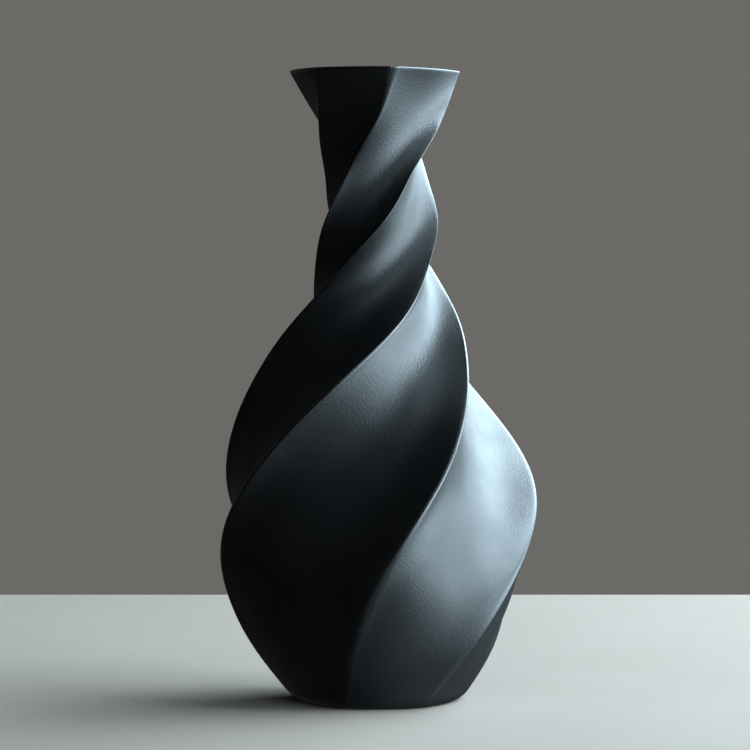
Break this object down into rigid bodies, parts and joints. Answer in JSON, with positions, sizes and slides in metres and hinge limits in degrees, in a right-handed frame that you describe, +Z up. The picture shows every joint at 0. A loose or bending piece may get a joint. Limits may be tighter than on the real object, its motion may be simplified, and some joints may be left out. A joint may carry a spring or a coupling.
{
  "type": "twisted flower vase",
  "caption": "Tall black clay vase with a flared mouth, narrow neck and wide belly, fluted in a right-handed spiral with crisp ridges.",
  "frame": {"origin": "middle of the flat underside of the floor slab, on the axis that the ridges turn about", "axes": "+Z up along that axis; the ridges turn anticlockwise seen from above as they climb; -Y is the front"},
  "size_m": [0.1529, 0.1527, 0.3],
  "materials": {
    "burnished_clay": "satin black, reduction fired and burnished, fine grain",
    "raw_clay": "matte black, left unburnished inside"
  },
  "bodies": {
    "root": {"floor_slab": "burnished_clay", "wall_strip_1": "burnished_clay", "wall_strip_2": "burnished_clay", "wall_strip_3": "burnished_clay", "wall_strip_4": "burnished_clay", "wall_strip_5": "burnished_clay", "rim_lip": "burnished_clay", "neck_strip_1": "burnished_clay", "neck_strip_2": "burnished_clay", "neck_strip_3": "burnished_clay", "neck_strip_4": "burnished_clay", "neck_strip_5": "burnished_clay", "seam_coil_1": "raw_clay", "seam_coil_2": "raw_clay", "seam_coil_3": "raw_clay", "seam_coil_4": "raw_clay", "seam_coil_5": "raw_clay", "floor_coil": "raw_clay"}
  },
  "joints": []
}
